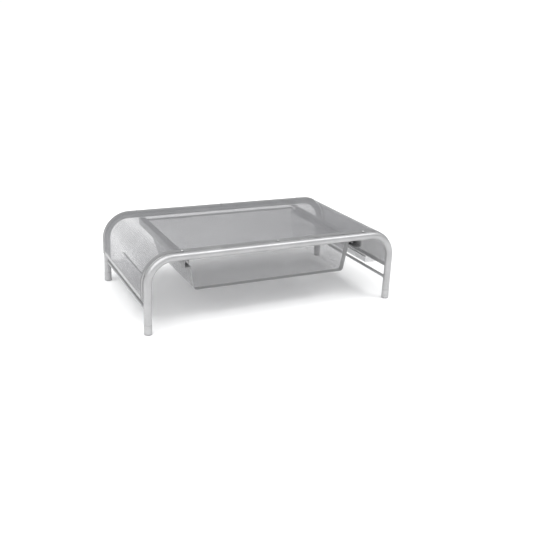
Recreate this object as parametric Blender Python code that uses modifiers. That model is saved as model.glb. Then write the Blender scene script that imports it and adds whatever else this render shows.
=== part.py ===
"""Monitor riser stand: two bent tube frames, a wrapped mesh sheet, side trays and a hanging drawer.

Metres, +Z up. +X is to the user's right, -Y is the front, and the origin is the centre of the
footprint on the desk.
"""

import math

import bmesh
import bpy
from mathutils import Matrix, Vector

NAME = "monitor_riser_stand"
SIDES = (("left", -1), ("right", 1))

# Tube frames
TUBE_R = 0.0070
TUBE_WALL = 0.0010
LEG_X = 0.2470  # from the middle to the centre of a leg
FRAME_Y = 0.1410  # from the middle to the centre of a frame
TOP_Z = 0.1360  # height of the top rail's centre
BEND_R = 0.0460  # centreline radius of the two upper corners
BEND_STEPS = 9
TUBE_BEVEL = 5  # gives 14 sides

GAP = 0.0003  # between pieces that touch

# Plastic feet that end the legs
CAP_HEAD = 0.0180
CAP_PLUG = 0.0120
CAP_CHAMFER = 0.0008

# Stretcher rods
ROD_R = 0.0030
ROD_Z = 0.0425

# Wrapped sheet, its edge bands and their rivets
SHEET_T = 0.0008
BAND_T = 0.0014
BAND_W = 0.0115
BAND_FRONT = 0.1395  # from the middle to the outer edge of the front or rear band
SIDE_LOW = 0.0600  # lower edge of the side panels
LOW_BAND_H = 0.0080
SHEET_STEPS = 10
RIVET_X = 0.1840
RIVET_Y = 0.1362
RIVET_HEAD_R = 0.0027
RIVET_HEAD_H = 0.0012
RIVET_SHANK_R = 0.0014
RIVET_HOLE_R = 0.0017
RIVET_LENGTH = 0.0062
DRILL_LENGTH = 0.0140

# Side trays
TRAY_Y = 0.0900
TRAY_INNER_X = 0.2265
TRAY_LIP_Z = 0.0720
TRAY_UPSTAND_Z = 0.0676
TRAY_BEND = 0.0025
LIP_WIRE_R = 0.0015

# Drawer rails: C-channels that open towards the middle
RAIL_X = 0.1800  # middle of the web
RAIL_TOP = 0.1282
RAIL_LOW = 0.1140
RAIL_FLANGE = 0.0120
RAIL_T = 0.0010
RAIL_Y = 0.1400

# Drawer: its walls lean outwards, and the rear wall leans back
FLOOR_Z = 0.0619  # middle of the floor sheet
FLOOR_X = 0.1545
WALL_TOP_Z = 0.1209
WALL_LEAN = 0.18  # sideways run of a side wall for each metre of height
WALL_TOP_X = FLOOR_X + WALL_LEAN * (WALL_TOP_Z - FLOOR_Z)
LIP_W = 0.0104
DRAWER_FRONT = -0.1190
FLOOR_REAR = 0.0870
TOP_REAR = 0.1306
BACK_LEAN = math.atan2(TOP_REAR - FLOOR_REAR, WALL_TOP_Z - FLOOR_Z)
DRAWER_BAND_W = 0.0120
DRAWER_BAND_T = 0.0014
DRAWER_BEND = 0.0070
LIP_BEND = 0.0010
RIM_R = 0.0022
RIM_X = 0.1730
RIM_Z = 0.1171
RIM_RISE_Y = 0.1316  # where the wire leaves the rails' level
RIM_REAR = 0.1365
RIM_REAR_Z = 0.1228
RIM_BEND = 0.0050
RISE_BEND = 0.0030
BACK_TOP_X = 0.1630  # the rear wall's upper edge stays between the bends of the rim wire
BACK_TOP_Z = 0.1228
TRAVEL = 0.1750

# Stops: a pin in each rail, and a tab on each side of the drawer's rim
PIN_Y = -0.0600
PIN_R = 0.0024
PIN_Z = 0.1248
TAB_THICK = 0.0020
TAB_X = (0.1690, 0.1745)
TAB_Z = (0.1217, 0.1270)

SILVER = ((0.60, 0.60, 0.61, 1.0), 0.55, 0.34)
MESH_GREY = ((0.50, 0.50, 0.51, 1.0), 0.50, 0.42)
STEEL = ((0.52, 0.52, 0.53, 1.0), 0.90, 0.30)
CAP_GREY = ((0.55, 0.55, 0.56, 1.0), 0.0, 0.50)


def clear_scene():
    """Removes what the file opened with."""
    for item in list(bpy.data.objects):
        bpy.data.objects.remove(item, do_unlink=True)


def new_collection(name):
    """Makes a collection in the scene."""
    group = bpy.data.collections.new(name)
    bpy.context.scene.collection.children.link(group)
    return group


def material(name, finish):
    """Makes a Principled BSDF material from a colour, a metallic value and a roughness."""
    colour, metallic, roughness = finish
    made = bpy.data.materials.new(name)
    made.use_nodes = True
    shader = made.node_tree.nodes["Principled BSDF"]
    shader.inputs["Base Color"].default_value = colour
    shader.inputs["Metallic"].default_value = metallic
    shader.inputs["Roughness"].default_value = roughness
    made.diffuse_color = colour
    return made


def add_object(name, data, finish, group, parent=None):
    """Links a new object with its own material, and hangs it on its body's empty."""
    made = bpy.data.objects.new(name, data)
    group.objects.link(made)
    made.parent = parent
    data.materials.clear()
    data.materials.append(material(name + "_finish", finish))
    return made


def smooth(made, angle=35):
    """Shades a round piece smooth, with its real edges kept sharp."""
    made.data.shade_smooth()
    made.data.set_sharp_from_angle(angle=math.radians(angle))


def evaluated_mesh(made):
    """The object's mesh with its modifiers, or a curve's as a mesh, with loose caps welded."""
    bpy.context.view_layer.update()
    graph = bpy.context.evaluated_depsgraph_get()
    mesh = bpy.data.meshes.new_from_object(made.evaluated_get(graph), depsgraph=graph)
    work = bmesh.new()
    work.from_mesh(mesh)
    bmesh.ops.remove_doubles(work, verts=work.verts, dist=0.000005)
    bmesh.ops.recalc_face_normals(work, faces=work.faces)
    work.to_mesh(mesh)
    work.free()
    return mesh


def rounded(points, radii, steps):
    """A polyline with an arc at each inner point, of the radius given for that point."""
    path = [Vector(points[0])]
    for before, corner, after, radius in zip(points, points[1:], points[2:], radii):
        corner = Vector(corner)
        into = (corner - Vector(before)).normalized()
        out = (Vector(after) - corner).normalized()
        turn = into.angle(out)
        reach = radius * math.tan(turn / 2)
        middle = corner + (out - into).normalized() * (radius / math.cos(turn / 2))
        start = corner - into * reach - middle
        end = corner + out * reach - middle
        axis = start.cross(end).normalized()
        for step in range(steps + 1):
            path.append(middle + Matrix.Rotation(turn * step / steps, 3, axis) @ start)
    path.append(Vector(points[-1]))
    return path


def swept_bar(name, path, radius, bevel, group, caps=True):
    """A round bar or wire along a path, as a curve object with filled caps."""
    curve = bpy.data.curves.new(name, "CURVE")
    curve.dimensions = "3D"
    curve.bevel_depth = radius
    curve.bevel_resolution = bevel
    curve.use_fill_caps = caps
    line = curve.splines.new("POLY")
    line.points.add(len(path) - 1)
    for point, place in zip(line.points, path):
        point.co = (*place, 1.0)
    made = bpy.data.objects.new(name, curve)
    group.objects.link(made)
    return made


def bar_piece(name, path, radius, bevel, finish, group, parent=None):
    """A solid round bar as a mesh piece with welded caps."""
    line = swept_bar(name + "_line", path, radius, bevel, group)
    mesh = evaluated_mesh(line)
    bpy.data.objects.remove(line, do_unlink=True)
    made = add_object(name, mesh, finish, group, parent)
    smooth(made)
    return made


def sheet_piece(name, profile, low_y, high_y, thickness, finish, group, parent=None):
    """A bent sheet: a profile in the XZ plane drawn out along Y, given its thickness by Solidify."""
    mesh = bpy.data.meshes.new(name)
    work = bmesh.new()
    corners = [work.verts.new((place[0], low_y, place[2])) for place in profile]
    edges = [work.edges.new(pair) for pair in zip(corners, corners[1:])]
    drawn = bmesh.ops.extrude_edge_only(work, edges=edges)["geom"]
    moved = [item for item in drawn if isinstance(item, bmesh.types.BMVert)]
    bmesh.ops.translate(work, verts=moved, vec=(0, high_y - low_y, 0))
    bmesh.ops.recalc_face_normals(work, faces=work.faces)
    work.to_mesh(mesh)
    work.free()
    made = add_object(name, mesh, finish, group, parent)
    wall = made.modifiers.new("thickness", "SOLIDIFY")
    wall.thickness = thickness
    wall.offset = 0.0
    wall.use_even_offset = True
    smooth(made)
    return made


def cylinder_mesh(name, radius, length, sides):
    """A closed cylinder about the origin, along Z."""
    mesh = bpy.data.meshes.new(name)
    work = bmesh.new()
    bmesh.ops.create_cone(
        work, cap_ends=True, segments=sides, radius1=radius, radius2=radius, depth=length
    )
    work.to_mesh(mesh)
    work.free()
    return mesh


def cutter(name, radius, length, place, group):
    """A vertical drill for one hole."""
    made = bpy.data.objects.new(name, cylinder_mesh(name, radius, length, 12))
    group.objects.link(made)
    made.location = place
    made.hide_render = True
    made.display_type = "WIRE"
    return made


def cut(piece, tools):
    """Cuts each tool out of a piece."""
    for number, tool in enumerate(tools):
        change = piece.modifiers.new(f"cut_{number}", "BOOLEAN")
        change.operation = "DIFFERENCE"
        change.solver = "EXACT"
        change.object = tool


def frame_path(offset, low_z):
    """The inverted U of a frame, moved outwards by an offset, from the left end to the right."""
    side = LEG_X + offset
    top = TOP_Z + offset
    corners = [(-side, 0, low_z), (-side, 0, top), (side, 0, top), (side, 0, low_z)]
    return corners, [BEND_R + offset] * 2


def frame_tube(name, y, drills, group):
    """One bent tube frame, hollow and open at the leg ends, with its rivet holes."""
    corners, radii = frame_path(0.0, CAP_HEAD + GAP)
    path = [place + Vector((0, y, 0)) for place in rounded(corners, radii, BEND_STEPS)]
    line = swept_bar(name + "_line", path, TUBE_R, TUBE_BEVEL, group, caps=False)
    mesh = evaluated_mesh(line)
    bpy.data.objects.remove(line, do_unlink=True)
    made = add_object(name, mesh, SILVER, group)
    wall = made.modifiers.new("wall", "SOLIDIFY")
    wall.thickness = TUBE_WALL
    wall.offset = -1.0
    cut(made, drills)
    smooth(made)
    return made


def turned_piece(name, profile, sides, finish, place, group):
    """A turned solid: a profile from the top of the axis, down its outer side and back to it."""
    mesh = bpy.data.meshes.new(name)
    work = bmesh.new()
    line = [work.verts.new((radius, 0, height)) for radius, height in profile]
    for pair in zip(line, line[1:]):
        work.edges.new(pair)
    work.to_mesh(mesh)
    work.free()
    made = add_object(name, mesh, finish, group)
    made.location = place
    turn = made.modifiers.new("turn", "SCREW")
    turn.steps = sides
    turn.render_steps = sides
    turn.use_merge_vertices = True
    turn.merge_threshold = 0.00001
    turn.use_smooth_shade = True
    return made


def end_cap(name, x, y, group):
    """A plastic end cap: a head as wide as the leg, with a plug that fits inside the tube."""
    plug_r = TUBE_R - TUBE_WALL - GAP
    profile = [
        (0.0, CAP_HEAD + CAP_PLUG),
        (plug_r, CAP_HEAD + CAP_PLUG),
        (plug_r, CAP_HEAD),
        (TUBE_R, CAP_HEAD),
        (TUBE_R, CAP_CHAMFER),
        (TUBE_R - CAP_CHAMFER, 0.0),
        (0.0, 0.0),
    ]
    return turned_piece(name, profile, 16, CAP_GREY, (x, y, 0), group)


def rivet(name, x, y, group):
    """A pan-head rivet that holds an edge band to its tube."""
    profile = [
        (0.0, RIVET_HEAD_H),
        (RIVET_HEAD_R * 0.6, RIVET_HEAD_H * 0.8),
        (RIVET_HEAD_R, RIVET_HEAD_H * 0.25),
        (RIVET_HEAD_R, 0.0),
        (RIVET_SHANK_R, 0.0),
        (RIVET_SHANK_R, -RIVET_LENGTH),
        (0.0, -RIVET_LENGTH),
    ]
    head_z = TOP_Z + TUBE_R + 2 * GAP + BAND_T
    return turned_piece(name, profile, 12, STEEL, (x, y, head_z), group)


def sheet_profile(thickness, low_z):
    """The middle line of a sheet that lies against the outside of both frames."""
    corners, radii = frame_path(TUBE_R + GAP + thickness / 2, low_z)
    return rounded(corners, radii, SHEET_STEPS)


def side_tray(side, sign, group):
    """A narrow trough inside a side panel, with a wire along its inner lip."""
    outer = LEG_X + TUBE_R - SHEET_T / 2
    floor = SIDE_LOW + SHEET_T / 2
    corners = [
        (sign * outer, 0, TRAY_UPSTAND_Z),
        (sign * outer, 0, floor),
        (sign * TRAY_INNER_X, 0, floor),
        (sign * TRAY_INNER_X, 0, TRAY_LIP_Z),
    ]
    profile = rounded(corners, [TRAY_BEND] * 2, 4)
    sheet_piece(side + "_side_tray", profile, -TRAY_Y, TRAY_Y, SHEET_T, MESH_GREY, group)
    wire_z = TRAY_LIP_Z + GAP + LIP_WIRE_R
    ends = [(sign * TRAY_INNER_X, -TRAY_Y, wire_z), (sign * TRAY_INNER_X, TRAY_Y, wire_z)]
    bar_piece(side + "_tray_lip_wire", ends, LIP_WIRE_R, 2, SILVER, group)


def side_pieces(side, sign, group):
    """The stretcher rod, lower edge band, tray and drawer rail of one side."""
    rod_end = FRAME_Y - TUBE_R - GAP
    ends = [(sign * LEG_X, -rod_end, ROD_Z), (sign * LEG_X, rod_end, ROD_Z)]
    bar_piece(side + "_side_rod", ends, ROD_R, 4, SILVER, group)

    band_x = sign * (LEG_X + TUBE_R + GAP + BAND_T / 2)
    band_end = BAND_FRONT - BAND_W - GAP
    band = [(band_x, 0, SIDE_LOW), (band_x, 0, SIDE_LOW + LOW_BAND_H)]
    sheet_piece(side + "_lower_band", band, -band_end, band_end, BAND_T, SILVER, group)
    side_tray(side, sign, group)

    inner = sign * (RAIL_X - RAIL_FLANGE)
    web = sign * RAIL_X
    rail = [(inner, 0, RAIL_TOP), (web, 0, RAIL_TOP), (web, 0, RAIL_LOW), (inner, 0, RAIL_LOW)]
    sheet_piece(side + "_drawer_rail", rail, -RAIL_Y, RAIL_Y, RAIL_T, SILVER, group)

    pin_ends = [
        (sign * (RAIL_X - RAIL_T / 2 - GAP), PIN_Y, PIN_Z),
        (sign * (RAIL_X - RAIL_FLANGE), PIN_Y, PIN_Z),
    ]
    bar_piece(side + "_rail_stop_pin", pin_ends, PIN_R, 3, STEEL, group)


def frame_end(end, sign, group, cutters):
    """One frame with its end caps, and the edge band riveted on top of it."""
    y = sign * FRAME_Y
    rivet_y = sign * RIVET_Y
    drills = []
    for spot, x in (("left", -RIVET_X), ("middle", 0.0), ("right", RIVET_X)):
        place = (x, rivet_y, TOP_Z + TUBE_R)
        drills.append(cutter(f"{end}_{spot}_drill", RIVET_HOLE_R, DRILL_LENGTH, place, cutters))
        rivet(f"{end}_{spot}_rivet", x, rivet_y, group)
    frame_tube(end + "_frame_tube", y, drills, group)
    for side, side_sign in SIDES:
        end_cap(f"{end}_{side}_end_cap", side_sign * LEG_X, y, group)

    edges = sorted((sign * BAND_FRONT, sign * (BAND_FRONT - BAND_W)))
    profile = sheet_profile(BAND_T, SIDE_LOW)
    band = sheet_piece(end + "_edge_band", profile, *edges, BAND_T, SILVER, group)
    cut(band, drills)


def build_stand(group, cutters):
    """The fixed body: frames, caps, sheet, bands, rivets and both sides."""
    frame_end("front", -1, group, cutters)
    frame_end("rear", 1, group, cutters)

    panel_end = BAND_FRONT - BAND_W - GAP
    panel_low = SIDE_LOW + LOW_BAND_H + GAP
    profile = sheet_profile(BAND_T, panel_low)
    sheet_piece("mesh_panel", profile, -panel_end, panel_end, SHEET_T, MESH_GREY, group)
    for side, sign in SIDES:
        side_pieces(side, sign, group)


def drawer_profile():
    """The middle line of the drawer: lip, slanted wall, floor, slanted wall, lip."""
    corners = [
        (-WALL_TOP_X - LIP_W, 0, WALL_TOP_Z),
        (-WALL_TOP_X, 0, WALL_TOP_Z),
        (-FLOOR_X, 0, FLOOR_Z),
        (FLOOR_X, 0, FLOOR_Z),
        (WALL_TOP_X, 0, WALL_TOP_Z),
        (WALL_TOP_X + LIP_W, 0, WALL_TOP_Z),
    ]
    return rounded(corners, [LIP_BEND, DRAWER_BEND, DRAWER_BEND, LIP_BEND], 4)


def rear_cutter(group):
    """A block behind the drawer's leaning rear plane, which trims the floor and the side walls."""
    mesh = bpy.data.meshes.new("rear_cutter")
    work = bmesh.new()
    bmesh.ops.create_cube(work, size=1.0)
    bmesh.ops.scale(work, vec=(0.5, 0.2, 0.4), verts=work.verts)
    bmesh.ops.translate(work, vec=(0, 0.1, 0), verts=work.verts)
    work.to_mesh(mesh)
    work.free()
    made = bpy.data.objects.new("rear_cutter", mesh)
    group.objects.link(made)
    made.rotation_euler = (-BACK_LEAN, 0, 0)
    made.location = (0, FLOOR_REAR, FLOOR_Z)
    made.hide_render = True
    made.display_type = "WIRE"
    return made


def drawer_back(group, body):
    """The rear wall: a flat plate behind the leaning rear edges, notched for the rim wire."""
    edge = SHEET_T / 2
    under_rim = RIM_Z - RIM_R - GAP
    shoulder_x = FLOOR_X + WALL_LEAN * (under_rim - FLOOR_Z)
    half = [
        (FLOOR_X + edge, -edge),
        (shoulder_x + edge, under_rim - FLOOR_Z),
        (BACK_TOP_X, under_rim - FLOOR_Z),
        (BACK_TOP_X, BACK_TOP_Z - FLOOR_Z),
    ]
    corners = half + [(-x, height) for x, height in reversed(half)]
    curve = bpy.data.curves.new("drawer_back", "CURVE")
    curve.dimensions = "2D"
    curve.fill_mode = "BOTH"
    curve.extrude = SHEET_T / 2
    line = curve.splines.new("POLY")
    line.points.add(len(corners) - 1)
    for point, (x, height) in zip(line.points, corners):
        point.co = (x, height / math.cos(BACK_LEAN), 0, 1)
    line.use_cyclic_u = True
    outline = bpy.data.objects.new("drawer_back_outline", curve)
    group.objects.link(outline)
    mesh = evaluated_mesh(outline)
    bpy.data.objects.remove(outline, do_unlink=True)
    mesh.transform(Matrix.Rotation(math.pi / 2 - BACK_LEAN, 4, "X"))
    behind = (GAP + SHEET_T / 2) / math.cos(BACK_LEAN)
    mesh.transform(Matrix.Translation((0, FLOOR_REAR + behind, FLOOR_Z)))
    return add_object("drawer_back", mesh, MESH_GREY, group, body)


def stop_tab(side, sign, group, body):
    """A small upright plate on the drawer's rear corner, which meets the pin in the rail."""
    front = PIN_Y + PIN_R + TRAVEL + GAP
    mesh = bpy.data.meshes.new(side + "_stop_tab")
    work = bmesh.new()
    bmesh.ops.create_cube(work, size=1.0)
    size = (TAB_X[1] - TAB_X[0], TAB_THICK, TAB_Z[1] - TAB_Z[0])
    middle = (sign * sum(TAB_X) / 2, front + TAB_THICK / 2, sum(TAB_Z) / 2)
    bmesh.ops.scale(work, vec=size, verts=work.verts)
    bmesh.ops.translate(work, vec=middle, verts=work.verts)
    work.to_mesh(mesh)
    work.free()
    return add_object(side + "_stop_tab", mesh, SILVER, group, body)


def build_drawer(group, cutters):
    """The moving body: it slides forwards along -Y from an empty on the slide's axis."""
    body = bpy.data.objects.new("drawer_slide_axis", None)
    group.objects.link(body)

    tray_front = DRAWER_FRONT + DRAWER_BAND_W + GAP
    profile = drawer_profile()
    tray = sheet_piece(
        "drawer_tray", profile, tray_front, TOP_REAR + 0.01, SHEET_T, MESH_GREY, group, body
    )
    cut(tray, [rear_cutter(cutters)])
    band_end = DRAWER_FRONT + DRAWER_BAND_W
    sheet_piece(
        "drawer_front_band", profile, DRAWER_FRONT, band_end, DRAWER_BAND_T, SILVER, group, body
    )
    drawer_back(group, body)

    corners = [
        (-RIM_X, DRAWER_FRONT, RIM_Z),
        (-RIM_X, RIM_RISE_Y, RIM_Z),
        (-RIM_X, RIM_REAR, RIM_REAR_Z),
        (RIM_X, RIM_REAR, RIM_REAR_Z),
        (RIM_X, RIM_RISE_Y, RIM_Z),
        (RIM_X, DRAWER_FRONT, RIM_Z),
    ]
    path = rounded(corners, [RISE_BEND, RIM_BEND, RIM_BEND, RISE_BEND], 5)
    bar_piece("drawer_rim_wire", path, RIM_R, 3, SILVER, group, body)
    for side, sign in SIDES:
        stop_tab(side, sign, group, body)


def main():
    """Builds the whole stand."""
    clear_scene()
    group = new_collection(NAME)
    cutters = new_collection("cutters")
    build_stand(group, cutters)
    build_drawer(group, cutters)


main()
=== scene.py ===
"""Looks of the monitor riser stand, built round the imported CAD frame. Metres, +Z up."""

import math

import bmesh
import bpy
from mathutils import Matrix, Vector


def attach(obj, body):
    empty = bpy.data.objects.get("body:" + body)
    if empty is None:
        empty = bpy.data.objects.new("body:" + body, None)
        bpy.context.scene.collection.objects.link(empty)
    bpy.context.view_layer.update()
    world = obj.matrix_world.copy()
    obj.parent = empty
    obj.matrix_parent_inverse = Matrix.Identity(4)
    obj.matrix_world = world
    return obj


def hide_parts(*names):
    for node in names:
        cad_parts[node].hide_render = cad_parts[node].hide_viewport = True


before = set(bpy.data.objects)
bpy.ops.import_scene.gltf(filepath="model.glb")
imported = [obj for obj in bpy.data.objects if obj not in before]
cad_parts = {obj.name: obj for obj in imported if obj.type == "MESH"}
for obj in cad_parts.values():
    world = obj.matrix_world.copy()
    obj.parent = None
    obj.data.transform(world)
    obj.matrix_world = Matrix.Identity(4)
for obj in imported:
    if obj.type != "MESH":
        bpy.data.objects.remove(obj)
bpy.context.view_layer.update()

SIDES = (("left", -1), ("right", 1))
ENDS = (("front", -1), ("rear", 1))

# Sizes, as in the CAD source
TUBE_R = 0.0070
LEG_X = 0.2470
FRAME_Y = 0.1410
TOP_Z = 0.1360
BEND_R = 0.0460
GAP = 0.0003
CAP_HEAD = 0.0180
ROD_R = 0.0030
ROD_Z = 0.0425
SHEET_T = 0.0008
BAND_T = 0.0014
BAND_W = 0.0115
BAND_FRONT = 0.1395
SIDE_LOW = 0.0600
LOW_BAND_H = 0.0080
RIVET_X = 0.1840
RIVET_Y = 0.1362
TRAY_Y = 0.0900
TRAY_INNER_X = 0.2265
TRAY_LIP_Z = 0.0720
TRAY_UPSTAND_Z = 0.0676
LIP_WIRE_R = 0.0015
RAIL_X = 0.1800
RAIL_TOP = 0.1282
RAIL_LOW = 0.1140
RAIL_FLANGE = 0.0120
RAIL_T = 0.0010
RAIL_Y = 0.1400
FLOOR_Z = 0.0619
FLOOR_X = 0.1545
WALL_TOP_Z = 0.1209
WALL_LEAN = 0.18
WALL_TOP_X = FLOOR_X + WALL_LEAN * (WALL_TOP_Z - FLOOR_Z)
LIP_W = 0.0104
DRAWER_FRONT = -0.1190
FLOOR_REAR = 0.0870
TOP_REAR = 0.1306
BACK_LEAN = math.atan2(TOP_REAR - FLOOR_REAR, WALL_TOP_Z - FLOOR_Z)
DRAWER_BAND_W = 0.0120
DRAWER_BAND_T = 0.0014
MESH_FRONT = DRAWER_FRONT + DRAWER_BAND_W + GAP
DRAWER_BEND = 0.0070
RIM_R = 0.0022
RIM_X = 0.1730
RIM_Z = 0.1171
RIM_RISE_Y = 0.1316
RIM_REAR = 0.1365
RIM_REAR_Z = 0.1228
RIM_BEND = 0.0050
RISE_BEND = 0.0030
BACK_TOP_X = 0.1630
BACK_TOP_Z = 0.1228

# Mesh cells: the long way and the short way of a diamond, and the strands' widths
CELL_LONG = 0.0044
CELL_SHORT = 0.0024
TOP_STRAND = 0.00062
DRAWER_STRAND = 0.00046
TRAY_STRAND = 0.00034

# Small roundings, and the steps that curves and long runs are cut into
EDGE = 0.0006
TUBE_EDGE = 0.0003
ROD_EDGE = 0.0004
RAIL_EDGE = 0.0003
WIRE_EDGE = 0.0002
RAIL_BEND = 0.0009
TRAY_BEND = 0.0025
LIP_BEND = 0.0010
FRAME_STEPS = 28
QUARTER_STEPS = 6
SECTION_STEPS = 3
TUBE_SIDES = 40
FOOT_SIDES = 40
SMALL_SIDES = 28
BAR_SIDES = 24
RIM_SIDES = 20
WIRE_SIDES = 16
BAR_RUN = 0.03
SHEET_RUN = 0.02
MERGE = 0.0000005
SHARP = math.radians(32)

# Camera, as fitted to the two tube frames in the photograph, its angles in degrees
CAMERA_PLACE = (-0.570363, -1.242925, 0.537186)
CAMERA_YAW = 27.238
CAMERA_PITCH = 18.784
CAMERA_ROLL = 2.6695
CAMERA_LENS = 46.824
CAMERA_SHIFT = (-0.0036, -0.0337)

# Light: where each sun stands, its power and its spread in degrees; then the world and the floor
KEY = ((-0.47, -0.34, 0.82), 2.6, 70)
SHINE = ((0.42, -0.32, 0.85), 1.2, 34)
WORLD_COLOUR = (0.98, 0.99, 1.0, 1.0)
WORLD_LIGHT = 0.52
WORLD_SEEN = 1.05
FLOOR_COLOUR = (0.95, 0.95, 0.95, 1.0)
FLOOR_HALF = 9.0
FLOOR_DROP = 0.0004


# ---------------------------------------------------------------- materials


class Nodes:
    """A short way to write a material's node tree."""

    def __init__(self, name):
        self.material = bpy.data.materials.new(name)
        self.material.use_nodes = True
        self.tree = self.material.node_tree
        self.shader = self.tree.nodes["Principled BSDF"]

    def add(self, kind, inputs=None, **settings):
        node = self.tree.nodes.new(kind)
        for key, value in settings.items():
            setattr(node, key, value)
        for key, value in (inputs or {}).items():
            if isinstance(value, bpy.types.NodeSocket):
                self.tree.links.new(value, node.inputs[key])
            else:
                node.inputs[key].default_value = value
        return node

    def math(self, operation, a, b):
        return self.add("ShaderNodeMath", {0: a, 1: b}, operation=operation).outputs[0]

    def ramp(self, value, low, high, to_low=0.0, to_high=1.0):
        """A smooth step from one value to another."""
        given = {"Value": value, "From Min": low, "From Max": high, "To Min": to_low, "To Max": to_high}
        return self.add("ShaderNodeMapRange", given, interpolation_type="SMOOTHSTEP").outputs["Result"]

    def place(self):
        return self.add("ShaderNodeTexCoord").outputs["Object"]

    def bump(self, height, strength, distance):
        given = {"Height": height, "Strength": strength, "Distance": distance}
        self.link(self.add("ShaderNodeBump", given).outputs["Normal"], "Normal")

    def noise(self, where, scale, detail=3.0, roughness=0.5):
        given = {"Vector": where, "Scale": scale, "Detail": detail, "Roughness": roughness}
        return self.add("ShaderNodeTexNoise", given).outputs["Fac"]

    def mixed(self, factor, one, other):
        made = self.add("ShaderNodeMix", data_type="RGBA")
        self.tree.links.new(factor, made.inputs[0])
        # a Mix node's colours are its inputs 6 and 7 and its output 2
        for place, value in ((6, one), (7, other)):
            if isinstance(value, bpy.types.NodeSocket):
                self.tree.links.new(value, made.inputs[place])
            else:
                made.inputs[place].default_value = value
        return made.outputs[2]

    def link(self, value, name):
        self.tree.links.new(value, self.shader.inputs[name])

    def set(self, **values):
        for name, value in values.items():
            self.shader.inputs[name.replace("_", " ")].default_value = value


def grey(value, blue=0.004):
    return (value, value, value + blue, 1.0)


def silver_paint(name, light, dark, metallic, rough):
    """Silver paint: fine metal flake in a glossy coat, with slight orange peel."""
    flake_scale, cloud_scale, wear_scale, peel_scale = 5200.0, 34.0, 210.0, 620.0
    flake_share, flake_gain = 0.35, 1.22
    made = Nodes(name)
    place = made.place()
    flake = made.add("ShaderNodeTexVoronoi", {"Vector": place, "Scale": flake_scale}).outputs["Color"]
    spark = made.ramp(made.add("ShaderNodeSeparateColor", {"Color": flake}).outputs[0], 0.55, 1.0)
    cloud = made.ramp(made.noise(place, cloud_scale, 4.0), 0.32, 0.68)
    base = made.mixed(cloud, grey(dark), grey(light))
    shining = grey(min(light * flake_gain, 0.95))
    made.link(made.mixed(made.math("MULTIPLY", spark, flake_share), base, shining), "Base Color")
    worn = made.noise(place, wear_scale, 3.0, 0.6)
    made.link(made.ramp(worn, 0.3, 0.7, rough - 0.04, rough + 0.05), "Roughness")
    peel = made.noise(place, peel_scale, 2.0, 0.45)
    grain = made.math("ADD", made.math("MULTIPLY", peel, 0.7), made.math("MULTIPLY", spark, 0.10))
    made.bump(grain, 0.10, 0.00025)
    made.set(Metallic=metallic, Coat_Weight=0.30, Coat_Roughness=0.28)
    return made.material


def mesh_metal(name, light, dark, strand):
    """Expanded metal sheet: diamond cells by the unrolled sheet's own metres, open between strands."""
    cloud_scale, speck_scale, bluish, strand_edge_dark = 26.0, 900.0, 0.014, 0.72
    knot_reach, knot_gain, softness = 0.22, 0.55, 0.12
    made = Nodes(name)
    place = made.add("ShaderNodeUVMap", uv_map="sheet").outputs["UV"]
    flat = made.add("ShaderNodeSeparateXYZ", {"Vector": place})
    along = made.math("DIVIDE", flat.outputs["X"], CELL_LONG)
    across = made.math("DIVIDE", flat.outputs["Y"], CELL_SHORT)
    first = made.math("PINGPONG", made.math("ADD", along, across), 0.5)
    second = made.math("PINGPONG", made.math("SUBTRACT", along, across), 0.5)
    # distance to the nearest strand's middle, as a share of the cell
    nearest = made.math("MINIMUM", first, second)
    joined = made.math("MAXIMUM", first, second)
    pitch = CELL_LONG * CELL_SHORT / math.hypot(CELL_LONG, CELL_SHORT)
    half = strand / 2 / pitch
    # the strands widen where they meet
    knot = made.math("MULTIPLY", made.ramp(joined, 0.0, knot_reach, 1.0, 0.0), half * knot_gain)
    reach = made.math("SUBTRACT", nearest, knot)
    made.link(made.ramp(reach, half * (1 - softness), half * (1 + softness), 1.0, 0.0), "Alpha")
    bed = made.place()
    cloud = made.ramp(made.noise(bed, cloud_scale, 4.0), 0.3, 0.7)
    base = made.mixed(cloud, grey(dark, bluish), grey(light, bluish))
    # each strand is darker towards its edges
    edge = made.ramp(reach, 0.0, half)
    made.link(made.mixed(edge, base, grey(dark * strand_edge_dark, 0.010)), "Base Color")
    speck = made.noise(bed, speck_scale, 2.0)
    made.link(made.ramp(speck, 0.3, 0.7, 0.36, 0.50), "Roughness")
    round_top = made.ramp(reach, 0.0, half, 1.0, 0.0)
    made.bump(made.math("ADD", round_top, made.math("MULTIPLY", speck, 0.15)), 0.55, 0.0003)
    made.set(Metallic=0.30)
    return made.material


def plated_steel(name):
    """Bright plated steel with fine turned marks."""
    mark_scale, cloud_scale = 1500.0, 300.0
    made = Nodes(name)
    place = made.place()
    marks = made.noise(place, mark_scale, 4.0, 0.6)
    cloud = made.ramp(made.noise(place, cloud_scale), 0.3, 0.7)
    made.link(made.mixed(cloud, grey(0.50), grey(0.66)), "Base Color")
    made.link(made.ramp(marks, 0.25, 0.75, 0.20, 0.38), "Roughness")
    made.bump(marks, 0.12, 0.0001)
    made.set(Metallic=0.92)
    return made.material


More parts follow.
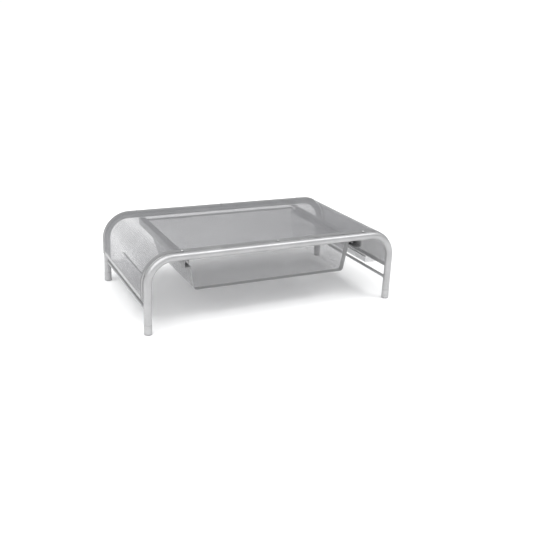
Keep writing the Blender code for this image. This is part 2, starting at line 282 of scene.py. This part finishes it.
def foot_plastic(name):
    """Light grey moulded plastic with a fine matte grain, darker in patches towards its bottom."""
    cloud_scale, bottom_dark_scale, grain_scale, bottom_dark_height = 120.0, 700.0, 1600.0, 0.004
    made = Nodes(name)
    place = made.place()
    cloud = made.ramp(made.noise(place, cloud_scale, 4.0), 0.3, 0.7)
    height = made.add("ShaderNodeSeparateXYZ", {"Vector": place}).outputs["Z"]
    # darker in patches over the lowest few millimetres
    low = made.ramp(height, 0.0, bottom_dark_height, 1.0, 0.0)
    bottom_dark = made.math("MULTIPLY", low, made.noise(place, bottom_dark_scale, 3.0))
    base = made.mixed(cloud, grey(0.38), grey(0.43))
    made.link(made.mixed(bottom_dark, base, grey(0.25)), "Base Color")
    grain = made.noise(place, grain_scale, 3.0)
    made.link(made.ramp(grain, 0.3, 0.7, 0.46, 0.60), "Roughness")
    made.bump(grain, 0.20, 0.00015)
    made.set(Specular_IOR_Level=0.42)
    return made.material


PAINT = silver_paint("silver_paint_finish", 0.42, 0.37, 0.50, 0.36)
# The edge bands are the same silver paint as the tubes, made darker here as painted shade for the shade they
# lie in behind and under the tubes.
SHADED_BAND_PAINT = silver_paint("silver_band_painted_shade_finish", 0.27, 0.23, 0.40, 0.38)
MESH = mesh_metal("expanded_mesh_finish", 0.42, 0.36, TOP_STRAND)
# The drawer's mesh is a much lighter copy of the top's mesh finish: painted light, lifting it out of the shade
# it lies in under the top.
LIGHTENED_FINE_MESH = mesh_metal("drawer_mesh_painted_light_finish", 0.68, 0.60, DRAWER_STRAND)
# The side trays' mesh is lighter still: painted light, so the trays seen through the side panels do not read
# dark in their shade.
LIGHTENED_TRAY_MESH = mesh_metal("tray_mesh_painted_light_finish", 0.72, 0.64, TRAY_STRAND)
STEEL = plated_steel("plated_steel_finish")
FOOT = foot_plastic("foot_plastic_finish")


# ---------------------------------------------------------------- shapes


def rounded(points, radii, steps):
    """A polyline with an arc at each inner point, of the radius given for that point."""
    path = [Vector(points[0])]
    for before, corner, after, radius in zip(points, points[1:], points[2:], radii):
        corner = Vector(corner)
        into = (corner - Vector(before)).normalized()
        out = (Vector(after) - corner).normalized()
        turn = into.angle(out)
        reach = radius * math.tan(turn / 2)
        middle = corner + (out - into).normalized() * (radius / math.cos(turn / 2))
        start = corner - into * reach - middle
        end = corner + out * reach - middle
        axis = start.cross(end).normalized()
        for step in range(steps + 1):
            path.append(middle + Matrix.Rotation(turn * step / steps, 3, axis) @ start)
    path.append(Vector(points[-1]))
    return path


def divided(path, longest):
    """The path with its long straight runs cut into shorter ones."""
    made = [path[0]]
    for a, b in zip(path, path[1:]):
        parts = max(1, math.ceil((b - a).length / longest))
        made += [a.lerp(b, k / parts) for k in range(1, parts + 1)]
    return made


def finished(name, work, material, body, nodes):
    """Turns a bmesh into a shaded piece that rides on its body and stands for its CAD nodes."""
    bmesh.ops.remove_doubles(work, verts=work.verts, dist=MERGE)
    bmesh.ops.recalc_face_normals(work, faces=work.faces)
    data = bpy.data.meshes.new(name)
    work.to_mesh(data)
    work.free()
    data.materials.append(material)
    data.shade_smooth()
    data.set_sharp_from_angle(angle=SHARP)
    made = bpy.data.objects.new(name, data)
    bpy.context.scene.collection.objects.link(made)
    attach(made, body)
    if nodes:
        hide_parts(*nodes)


def lengths_of(path):
    """The distance along the path to each of its points."""
    made = [0.0]
    for a, b in zip(path, path[1:]):
        made.append(made[-1] + (b - a).length)
    return made


def sweep_round(work, path, profile, sides):
    """A round bar swept along a path. profile gives (distance in from the end, radius) at both ends."""
    near = 1e-6
    lengths = lengths_of(path)
    total = lengths[-1]
    inset, body_r = profile[-1]
    stations = list(profile)
    stations += [(at, body_r) for at in lengths if inset < at < total - inset]
    stations += [(total - at, radius) for at, radius in reversed(profile)]
    layer = work.loops.layers.uv.new("sheet")
    rings = []
    normal = None
    for at, radius in stations:
        k = max(i for i in range(len(path) - 1) if lengths[i] <= at + 1e-9)
        share = (at - lengths[k]) / max(lengths[k + 1] - lengths[k], 1e-12)
        centre = path[k].lerp(path[k + 1], min(share, 1.0))
        way = (path[k + 1] - path[k]).normalized()
        # at a corner of the path the ring stands halfway between both ways
        if share < near and k > 0:
            way = (way + (path[k] - path[k - 1]).normalized()).normalized()
        elif share > 1 - near and k + 2 < len(path):
            way = (way + (path[k + 2] - path[k + 1]).normalized()).normalized()
        if normal is None:
            normal = Vector((0, 1, 0)) if abs(way.y) < 0.9 else Vector((1, 0, 0))
        normal = (normal - way * normal.dot(way)).normalized()
        other = way.cross(normal)
        ring = []
        for side in range(sides):
            turn = math.tau * side / sides
            ring.append(work.verts.new(centre + (normal * math.cos(turn) + other * math.sin(turn)) * radius))
        rings.append((ring, at))
    around = math.tau * body_r / sides
    for (a, at_a), (b, at_b) in zip(rings, rings[1:]):
        for side in range(sides):
            after = (side + 1) % sides
            face = work.faces.new((a[side], a[after], b[after], b[side]))
            corners = ((at_a, side), (at_a, side + 1), (at_b, side + 1), (at_b, side))
            for loop, (u, v) in zip(face.loops, corners):
                loop[layer].uv = (u, v * around)
    for end_ring in (rings[0][0], rings[-1][0]):
        work.faces.new(end_ring)


def bar(name, path, radius, material, body, nodes, sides, edge):
    """A round bar, wire or rod with rounded ends."""
    work = bmesh.new()
    middle = edge * 0.3
    profile = [(0.0, radius - edge), (middle, radius - middle), (edge, radius)]
    sweep_round(work, path, profile, sides)
    finished(name, work, material, body, nodes)


def circle(work, radius, height, sides):
    """The vertices of one ring round the Z axis."""
    turns = [math.tau * side / sides for side in range(sides)]
    return [work.verts.new((radius * math.cos(t), radius * math.sin(t), height)) for t in turns]


def turned(name, profile, sides, place, material, body, nodes):
    """A solid turned round an upright axis: (radius, height) from its top down its outer side and back in."""
    work = bmesh.new()
    rings = []
    for radius, height in profile:
        if radius == 0.0:
            rings.append([work.verts.new((0, 0, height))])
        else:
            rings.append(circle(work, radius, height, sides))
    for a, b in zip(rings, rings[1:]):
        for side in range(sides):
            after = (side + 1) % sides
            corners = [a[side % len(a)], a[after % len(a)], b[after % len(b)], b[side % len(b)]]
            corners = [v for i, v in enumerate(corners) if v not in corners[:i]]
            work.faces.new(corners)
    bmesh.ops.translate(work, vec=Vector(place), verts=work.verts)
    finished(name, work, material, body, nodes)


def normals_of(path):
    """Outward-left normals of a path in the XZ plane, widened at corners so a sheet keeps its thickness."""
    made = []
    for k, point in enumerate(path):
        ways = []
        if k > 0:
            ways.append((point - path[k - 1]).normalized())
        if k + 1 < len(path):
            ways.append((path[k + 1] - point).normalized())
        sides = [Vector((-way.z, 0, way.x)) for way in ways]
        total = sum(sides, Vector()).normalized()
        made.append(total / max(total.dot(sides[0]), 0.3))
    return made


def sweep_strip(work, path, section, y_of=None):
    """A closed section of (offset from the path, y) points swept along a path in the XZ plane."""
    layer = work.loops.layers.uv.new("sheet")
    lengths = lengths_of(path)
    normals = normals_of(path)
    rings = []
    for point, normal in zip(path, normals):
        ring = []
        for offset, y in section:
            place = point + normal * offset
            if y_of:
                y = y_of(place, y)
            ring.append(work.verts.new((place.x, y, place.z)))
        rings.append(ring)
    count = len(section)
    for k in range(len(rings) - 1):
        a, b = rings[k], rings[k + 1]
        for side in range(count):
            after = (side + 1) % count
            face = work.faces.new((a[side], a[after], b[after], b[side]))
            us = (lengths[k], lengths[k], lengths[k + 1], lengths[k + 1])
            for loop, u in zip(face.loops, us):
                loop[layer].uv = (u, loop.vert.co.y)
    for ring in (rings[0], rings[-1]):
        face = work.faces.new(ring)
        for loop in face.loops:
            loop[layer].uv = (0.0, loop.vert.co.y)


def rounded_section(thickness, y0, y1, edge):
    """A strip's section with rounded long edges, as (offset, y) points."""
    half = thickness / 2
    edge = min(edge, half)
    inner = half - edge
    low, high = y0 + edge, y1 - edge
    corners = [(inner, high), (inner, low), (-inner, low), (-inner, high)]
    made = []
    for quarter, (offset, y) in enumerate(corners):
        for step in range(SECTION_STEPS + 1):
            turn = math.pi / 2 * (quarter + step / SECTION_STEPS)
            made.append((offset + edge * math.cos(turn), y + edge * math.sin(turn)))
    return made


def strip(name, path, y0, y1, thickness, material, body, nodes):
    """A metal strip or band with rounded edges, bent along a path."""
    work = bmesh.new()
    sweep_strip(work, path, rounded_section(thickness, y0, y1, EDGE))
    finished(name, work, material, body, nodes)


def thin_sheet(name, path, y0, y1, material, body, nodes, rows=6, y_of=None):
    """A thin mesh sheet bent along a path, whose cells line up on both faces."""
    work = bmesh.new()
    half = SHEET_T / 2
    steps = [y0 + (y1 - y0) * k / rows for k in range(rows + 1)]
    section = [(half, y) for y in reversed(steps)] + [(-half, y) for y in steps]
    sweep_strip(work, path, section, y_of)
    finished(name, work, material, body, nodes)


def frame_path(offset, low_z, steps):
    """The inverted U of a frame, moved outwards by an offset, from the left end to the right."""
    side = LEG_X + offset
    top = TOP_Z + offset
    corners = [(-side, 0, low_z), (-side, 0, top), (side, 0, top), (side, 0, low_z)]
    return rounded(corners, [BEND_R + offset] * 2, steps)


# ---------------------------------------------------------------- the fixed body


def frames():
    for end, sign in ENDS:
        y = sign * FRAME_Y
        path = [place + Vector((0, y, 0)) for place in frame_path(0.0, CAP_HEAD + GAP, FRAME_STEPS)]
        tube = [end + "_frame_tube"]
        path = divided(path, BAR_RUN)
        bar(end + "_tube", path, TUBE_R, PAINT, "stand", tube, TUBE_SIDES, TUBE_EDGE)
        path = divided(frame_path(TUBE_R + GAP + BAND_T / 2, SIDE_LOW, FRAME_STEPS), BAR_RUN)
        low, high = sorted((sign * BAND_FRONT, sign * (BAND_FRONT - BAND_W)))
        band = [end + "_edge_band"]
        strip(end + "_band", path, low, high, BAND_T, SHADED_BAND_PAINT, "stand", band)
        for side, side_sign in SIDES:
            foot(f"{end}_{side}_foot", side_sign * LEG_X, y, [f"{end}_{side}_end_cap"])
        for spot, x in (("left", -RIVET_X), ("middle", 0.0), ("right", RIVET_X)):
            rivet(f"{end}_{spot}_rivet_head", x, sign * RIVET_Y, [f"{end}_{spot}_rivet"])


def foot(name, x, y, nodes):
    """A plastic foot: its upper rim eased, its bottom edge rounded, and a shallow recess below."""
    r = TUBE_R
    ease, ease_drop, ease_middle = 0.0006, 0.0005, 0.00015
    bottom_r = 0.0012
    recess_rim, recess_wall, recess = 0.0030, 0.0034, 0.0004
    profile = [(0.0, CAP_HEAD), (r - ease, CAP_HEAD)]
    profile += [(r - ease_middle, CAP_HEAD - ease_middle), (r, CAP_HEAD - ease_drop)]
    for step in range(QUARTER_STEPS + 1):
        turn = math.pi / 2 * step / QUARTER_STEPS
        profile.append((r - bottom_r + bottom_r * math.cos(turn), bottom_r - bottom_r * math.sin(turn)))
    profile += [(r - recess_rim, 0.0), (r - recess_wall, recess), (0.0, recess)]
    turned(name, profile, FOOT_SIDES, (x, y, 0), FOOT, "stand", nodes)


def rivet(name, x, y, nodes):
    """A blind rivet's domed head, with the dimple of its pulled pin and the shank below."""
    top = TOP_Z + TUBE_R + 2 * GAP + BAND_T
    head_r, head_h, head_steps = 0.0027, 0.0012, 7
    dimple_r, dimple_wall, crown_r = 0.0007, 0.0008, 0.0010
    shank_r, shank_l = 0.0014, 0.0062
    floor, rim, skirt = head_h * 0.62, head_h * 0.97, 0.12
    profile = [(0.0, floor), (dimple_r, floor), (dimple_wall, rim), (crown_r, head_h)]
    for step in range(1, head_steps + 1):
        turn = math.pi / 2 * step / head_steps
        height = head_h * (skirt + (1 - skirt) * math.cos(turn))
        profile.append((crown_r + (head_r - crown_r) * math.sin(turn), height))
    profile += [(head_r, 0.0), (shank_r, 0.0), (shank_r, -shank_l), (0.0, -shank_l)]
    turned(name, profile, SMALL_SIDES, (x, y, top), STEEL, "stand", nodes)


def top_sheet():
    """The mesh sheet that is the top and both sides."""
    end = BAND_FRONT - BAND_W - GAP
    low = SIDE_LOW + LOW_BAND_H + GAP
    path = divided(frame_path(TUBE_R + GAP + BAND_T / 2, low, FRAME_STEPS), SHEET_RUN)
    thin_sheet("top_mesh", path, -end, end, MESH, "stand", ["mesh_panel"], 12)


def weld(name, place, axis, inner, outer, length):
    """A small hollow weld fillet where a bar meets a tube: a ring round the bar."""
    bore = inner * 0.6
    profile = [(bore, length)]
    for step in reversed(range(QUARTER_STEPS + 1)):
        turn = math.pi / 2 * step / QUARTER_STEPS
        profile.append((outer - (outer - inner) * math.sin(turn), length * (1 - math.cos(turn))))
    profile.append((bore, 0.0))
    work = bmesh.new()
    rings = [circle(work, radius, height, SMALL_SIDES) for radius, height in profile]
    for a, b in zip(rings, rings[1:] + rings[:1]):
        for side in range(SMALL_SIDES):
            after = (side + 1) % SMALL_SIDES
            work.faces.new((a[side], a[after], b[after], b[side]))
    turn = Vector((0, 0, 1)).rotation_difference(Vector(axis)).to_matrix().to_4x4()
    bmesh.ops.transform(work, matrix=Matrix.Translation(Vector(place)) @ turn, verts=work.verts)
    finished(name, work, PAINT, "stand", [])


def side_parts():
    weld_gap, weld_w, weld_l = 0.0005, 0.0016, 0.0022
    rod_end = FRAME_Y - TUBE_R - GAP
    band_x = LEG_X + TUBE_R + GAP + BAND_T / 2
    for side, sign in SIDES:
        x = sign * LEG_X
        path = divided([Vector((x, -rod_end, ROD_Z)), Vector((x, rod_end, ROD_Z))], BAR_RUN)
        rod = [side + "_side_rod"]
        bar(side + "_rod", path, ROD_R, PAINT, "stand", rod, BAR_SIDES, ROD_EDGE)
        for end, end_sign in ENDS:
            place = (x, end_sign * (rod_end + weld_gap), ROD_Z)
            weld(f"{side}_{end}_rod_weld", place, (0, -end_sign, 0), ROD_R, ROD_R + weld_w, weld_l)
        low_band(side + "_low_band", sign * band_x, [side + "_lower_band"])
        side_tray(side, sign)
        rail(side, sign)


def low_band(name, x, nodes):
    """The hem along a side's lower edge: a straight strip along Y, its long edges rounded."""
    end = BAND_FRONT - BAND_W - GAP
    spans = 10
    work = bmesh.new()
    layer = work.loops.layers.uv.new("sheet")
    section = rounded_section(BAND_T, SIDE_LOW, SIDE_LOW + LOW_BAND_H, EDGE)
    rings = []
    for y in [-end + 2 * end * k / spans for k in range(spans + 1)]:
        rings.append([work.verts.new((x + offset, y, z)) for offset, z in section])
    count = len(section)
    for a, b in zip(rings, rings[1:]):
        for k in range(count):
            face = work.faces.new((a[k], a[(k + 1) % count], b[(k + 1) % count], b[k]))
            for loop in face.loops:
                loop[layer].uv = (loop.vert.co.y, loop.vert.co.z)
    for end_ring in (rings[0], rings[-1]):
        work.faces.new(end_ring)
    finished(name, work, PAINT, "stand", nodes)


def side_tray(side, sign):
    """A narrow mesh trough inside a side panel, with a wire along its inner lip."""
    outer = sign * (LEG_X + TUBE_R - SHEET_T / 2)
    inner = sign * TRAY_INNER_X
    floor = SIDE_LOW + SHEET_T / 2
    corners = [(outer, 0, TRAY_UPSTAND_Z), (outer, 0, floor), (inner, 0, floor), (inner, 0, TRAY_LIP_Z)]
    path = rounded(corners, [TRAY_BEND] * 2, 8)
    thin_sheet(side + "_tray", path, -TRAY_Y, TRAY_Y, LIGHTENED_TRAY_MESH, "stand", [side + "_side_tray"])
    wire_z = TRAY_LIP_Z + GAP + LIP_WIRE_R
    path = divided([Vector((inner, -TRAY_Y, wire_z)), Vector((inner, TRAY_Y, wire_z))], BAR_RUN)
    wire = [side + "_tray_lip_wire"]
    bar(side + "_tray_wire", path, LIP_WIRE_R, PAINT, "stand", wire, WIRE_SIDES, WIRE_EDGE)


def rail(side, sign):
    """A C-channel with rounded bends that the drawer's rim runs in."""
    inner = sign * (RAIL_X - RAIL_FLANGE)
    web = sign * RAIL_X
    corners = [(inner, 0, RAIL_TOP), (web, 0, RAIL_TOP), (web, 0, RAIL_LOW), (inner, 0, RAIL_LOW)]
    path = rounded(corners, [RAIL_BEND] * 2, 5)
    work = bmesh.new()
    sweep_strip(work, path, rounded_section(RAIL_T, -RAIL_Y, RAIL_Y, RAIL_EDGE))
    finished(side + "_rail", work, PAINT, "stand", [side + "_drawer_rail"])


# ---------------------------------------------------------------- the drawer


def drawer_path():
    """The drawer's section: a lip, a leaning wall, the floor, and the same again."""
    corners = [
        (-WALL_TOP_X - LIP_W, 0, WALL_TOP_Z),
        (-WALL_TOP_X, 0, WALL_TOP_Z),
        (-FLOOR_X, 0, FLOOR_Z),
        (FLOOR_X, 0, FLOOR_Z),
        (WALL_TOP_X, 0, WALL_TOP_Z),
        (WALL_TOP_X + LIP_W, 0, WALL_TOP_Z),
    ]
    return divided(rounded(corners, [LIP_BEND, DRAWER_BEND, DRAWER_BEND, LIP_BEND], 6), SHEET_RUN)


def leaning_rear(place, y):
    """Spreads y from the front edge to 1 over the sheet up to the leaning plane of the rear wall."""
    rear = FLOOR_REAR + (place.z - FLOOR_Z) * math.tan(BACK_LEAN)
    share = (y - MESH_FRONT) / (1.0 - MESH_FRONT)
    return MESH_FRONT + (rear - MESH_FRONT) * share


def drawer():
    tray = ["drawer_tray"]
    thin_sheet("drawer_mesh", drawer_path(), MESH_FRONT, 1.0, LIGHTENED_FINE_MESH, "drawer", tray, 8, leaning_rear)
    strip(
        "drawer_edge_band", drawer_path(), DRAWER_FRONT, DRAWER_FRONT + DRAWER_BAND_W, DRAWER_BAND_T,
        PAINT, "drawer", ["drawer_front_band"],
    )
    back_wall()
    corners = [
        (-RIM_X, DRAWER_FRONT, RIM_Z),
        (-RIM_X, RIM_RISE_Y, RIM_Z),
        (-RIM_X, RIM_REAR, RIM_REAR_Z),
        (RIM_X, RIM_REAR, RIM_REAR_Z),
        (RIM_X, RIM_RISE_Y, RIM_Z),
        (RIM_X, DRAWER_FRONT, RIM_Z),
    ]
    path = divided(rounded(corners, [RISE_BEND, RIM_BEND, RIM_BEND, RISE_BEND], 10), BAR_RUN)
    rim = ["drawer_rim_wire"]
    bar("drawer_rim", path, RIM_R, PAINT, "drawer", rim, RIM_SIDES, TUBE_EDGE)


def back_wall():
    """The leaning rear wall: a flat mesh plate as wide as the drawer, and narrower between the rim's sides."""
    half = SHEET_T / 2
    spans = 6
    shoulder = RIM_Z - RIM_R - GAP - FLOOR_Z
    outline = [(-half, FLOOR_X + half)]
    for k in range(1, spans + 1):
        outline.append((shoulder * k / spans, FLOOR_X + half + WALL_LEAN * shoulder * k / spans))
    outline += [(shoulder, BACK_TOP_X), (BACK_TOP_Z - FLOOR_Z, BACK_TOP_X)]
    points = [(x, h / math.cos(BACK_LEAN)) for h, x in outline]
    points += [(-x, h) for x, h in reversed(points)]
    turn = Matrix.Rotation(math.pi / 2 - BACK_LEAN, 4, "X")
    behind = (GAP + half) / math.cos(BACK_LEAN)
    move = Matrix.Translation((0, FLOOR_REAR + behind, FLOOR_Z)) @ turn
    work = bmesh.new()
    layer = work.loops.layers.uv.new("sheet")
    front, rear = ([work.verts.new(move @ Vector((x, h, z))) for x, h in points] for z in (half, -half))
    for corners, order in ((front, points), (rear[::-1], points[::-1])):
        for loop, spot in zip(work.faces.new(corners).loops, order):
            loop[layer].uv = spot
    for k in range(len(points)):
        after = (k + 1) % len(points)
        face = work.faces.new((front[k], rear[k], rear[after], front[after]))
        for loop, at in zip(face.loops, (k, k, after, after)):
            loop[layer].uv = points[at]
    finished("drawer_back_mesh", work, LIGHTENED_FINE_MESH, "drawer", ["drawer_back"])


# ---------------------------------------------------------------- camera, light and floor


def camera():
    yaw, pitch, roll = (math.radians(angle) for angle in (CAMERA_YAW, CAMERA_PITCH, CAMERA_ROLL))
    forward = Vector((math.sin(yaw) * math.cos(pitch), math.cos(yaw) * math.cos(pitch), -math.sin(pitch)))
    right = Vector((math.cos(yaw), -math.sin(yaw), 0))
    up = right.cross(forward)
    turned_right = right * math.cos(roll) + up * math.sin(roll)
    turned_up = up * math.cos(roll) - right * math.sin(roll)
    data = bpy.data.cameras.new("camera")
    made = bpy.data.objects.new("camera", data)
    bpy.context.scene.collection.objects.link(made)
    axes = Matrix((turned_right, turned_up, -forward)).transposed().to_4x4()
    made.matrix_world = Matrix.Translation(CAMERA_PLACE) @ axes
    data.sensor_width = 36.0
    data.lens = CAMERA_LENS
    data.shift_x, data.shift_y = CAMERA_SHIFT
    data.clip_start = 0.05
    data.clip_end = 60.0
    bpy.context.scene.camera = made


def sun_light(name, source, power, spread):
    """A broad even light from one side."""
    data = bpy.data.lights.new(name, "SUN")
    data.energy = power
    data.angle = math.radians(spread)
    made = bpy.data.objects.new(name, data)
    bpy.context.scene.collection.objects.link(made)
    made.rotation_mode = "QUATERNION"
    made.rotation_quaternion = Vector(source).to_track_quat("Z", "Y")


def studio():
    scene = bpy.context.scene
    scene.view_settings.view_transform = "Standard"
    world = bpy.data.worlds.new("studio")
    scene.world = world
    world.use_nodes = True
    tree = world.node_tree
    background = tree.nodes.get("Background") or tree.nodes.new("ShaderNodeBackground")
    output = next((n for n in tree.nodes if n.type == "OUTPUT_WORLD"), None)
    output = output or tree.nodes.new("ShaderNodeOutputWorld")
    tree.links.new(background.outputs[0], output.inputs[0])
    background.inputs["Color"].default_value = WORLD_COLOUR
    # the backdrop is white to the camera, and lights the stand less
    sight = tree.nodes.new("ShaderNodeLightPath")
    power = tree.nodes.new("ShaderNodeMapRange")
    power.inputs["To Min"].default_value = WORLD_LIGHT
    power.inputs["To Max"].default_value = WORLD_SEEN
    tree.links.new(sight.outputs["Is Camera Ray"], power.inputs["Value"])
    tree.links.new(power.outputs["Result"], background.inputs["Strength"])
    sun_light("key", *KEY)
    sun_light("shine", *SHINE)

    work = bmesh.new()
    bmesh.ops.create_grid(work, x_segments=2, y_segments=2, size=FLOOR_HALF)
    data = bpy.data.meshes.new("floor")
    work.to_mesh(data)
    work.free()
    floor = bpy.data.objects.new("floor", data)
    floor.location = (0, 0, -FLOOR_DROP)
    scene.collection.objects.link(floor)
    made = Nodes("floor_finish")
    made.set(Base_Color=FLOOR_COLOUR, Roughness=0.7, Specular_IOR_Level=0.2)
    data.materials.append(made.material)


# ---------------------------------------------------------------- build


camera()
studio()
frames()
top_sheet()
side_parts()
drawer()
for node, finish in (
    ("left_rail_stop_pin", STEEL),
    ("right_rail_stop_pin", STEEL),
    ("left_stop_tab", PAINT),
    ("right_stop_tab", PAINT),
):
    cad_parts[node].data.materials.clear()
    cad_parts[node].data.materials.append(finish)
